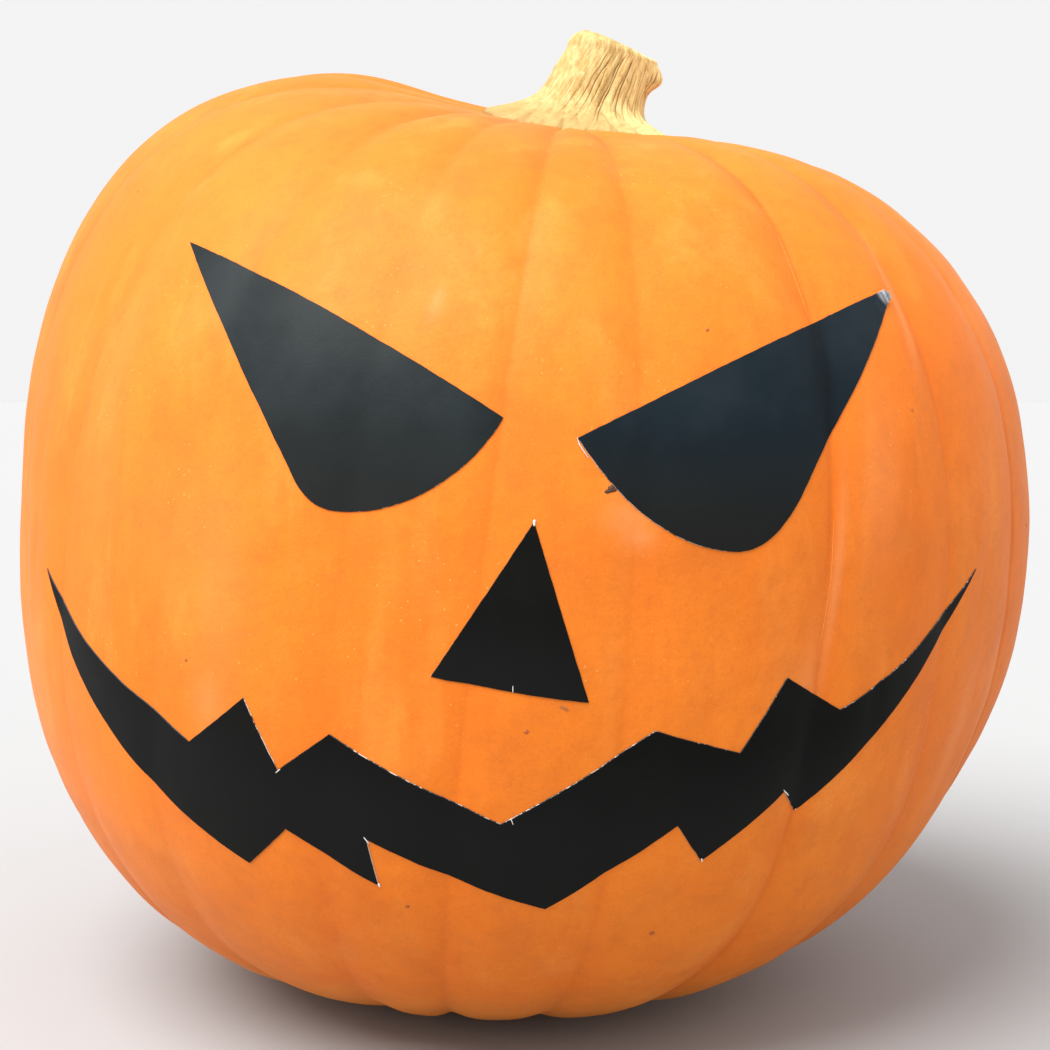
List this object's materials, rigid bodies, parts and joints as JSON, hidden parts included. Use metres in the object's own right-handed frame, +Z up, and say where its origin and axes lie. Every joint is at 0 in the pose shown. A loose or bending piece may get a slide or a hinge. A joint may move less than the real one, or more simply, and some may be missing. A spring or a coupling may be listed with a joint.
{
  "type": "pumpkin with stick-on face",
  "caption": "Whole uncut orange pumpkin with a dry stem, leaning a little, wearing a jagged jack-o'-lantern face of black adhesive film stuck on its ribbed skin.",
  "frame": {"origin": "middle of the flat spot that the pumpkin stands on", "axes": "+Z up, the face looks along -Y, +X to the viewer's right"},
  "size_m": [0.333, 0.3297, 0.3156],
  "materials": {
    "pumpkin_skin": "satin orange rind, stands in for pumpkin skin",
    "dry_stem": "dry, corky, straw coloured",
    "eye_film": "black satin self-adhesive film with a grey sheen",
    "face_film": "black satin self-adhesive film"
  },
  "bodies": {
    "root": {"pumpkin": "pumpkin_skin", "stem": "dry_stem", "eye_left": "eye_film", "eye_right": "eye_film", "nose": "face_film", "mouth": "face_film"}
  },
  "joints": []
}
